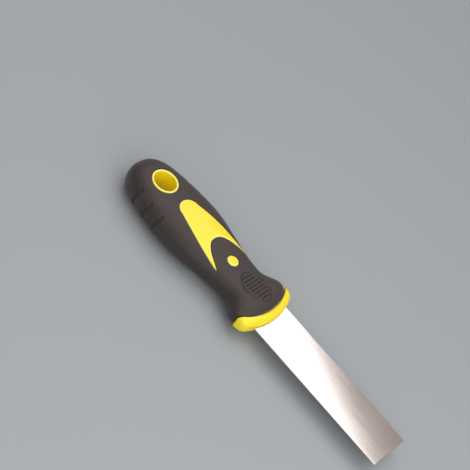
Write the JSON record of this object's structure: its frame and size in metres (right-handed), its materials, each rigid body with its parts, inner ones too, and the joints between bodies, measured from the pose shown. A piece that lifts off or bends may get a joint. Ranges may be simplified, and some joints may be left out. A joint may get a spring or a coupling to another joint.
{
  "type": "taping knife",
  "caption": "Narrow drywall taping knife: a thin flexible steel blade with a square edge, riveted in a two-colour soft-grip handle with a collar and a hang hole.",
  "frame": {"origin": "on the axis of the hang hole, in the middle plane of the blade", "axes": "+X from the hang hole to the working edge, along the longest side; +Z along the hang hole and the blade's normal, across the thinnest side; +Y across the blade"},
  "size_m": [0.1857, 0.0378, 0.0176],
  "materials": {
    "blade_steel": "mirror-polished stainless steel with a faint lengthwise grain",
    "rivet_steel": "plain",
    "yellow_plastic": "semi-gloss moulded polypropylene",
    "soft_grip": "satin thermoplastic rubber, slightly worn on the edges"
  },
  "bodies": {
    "root": {"blade": "blade_steel", "core_top": "yellow_plastic", "core_bottom": "yellow_plastic", "tang_rivets": "rivet_steel", "collar": "yellow_plastic", "hang_liner": "yellow_plastic", "grip": "soft_grip", "inlay_top": "yellow_plastic", "inlay_bottom": "yellow_plastic", "dot_top": "yellow_plastic", "dot_bottom": "yellow_plastic"}
  },
  "joints": []
}
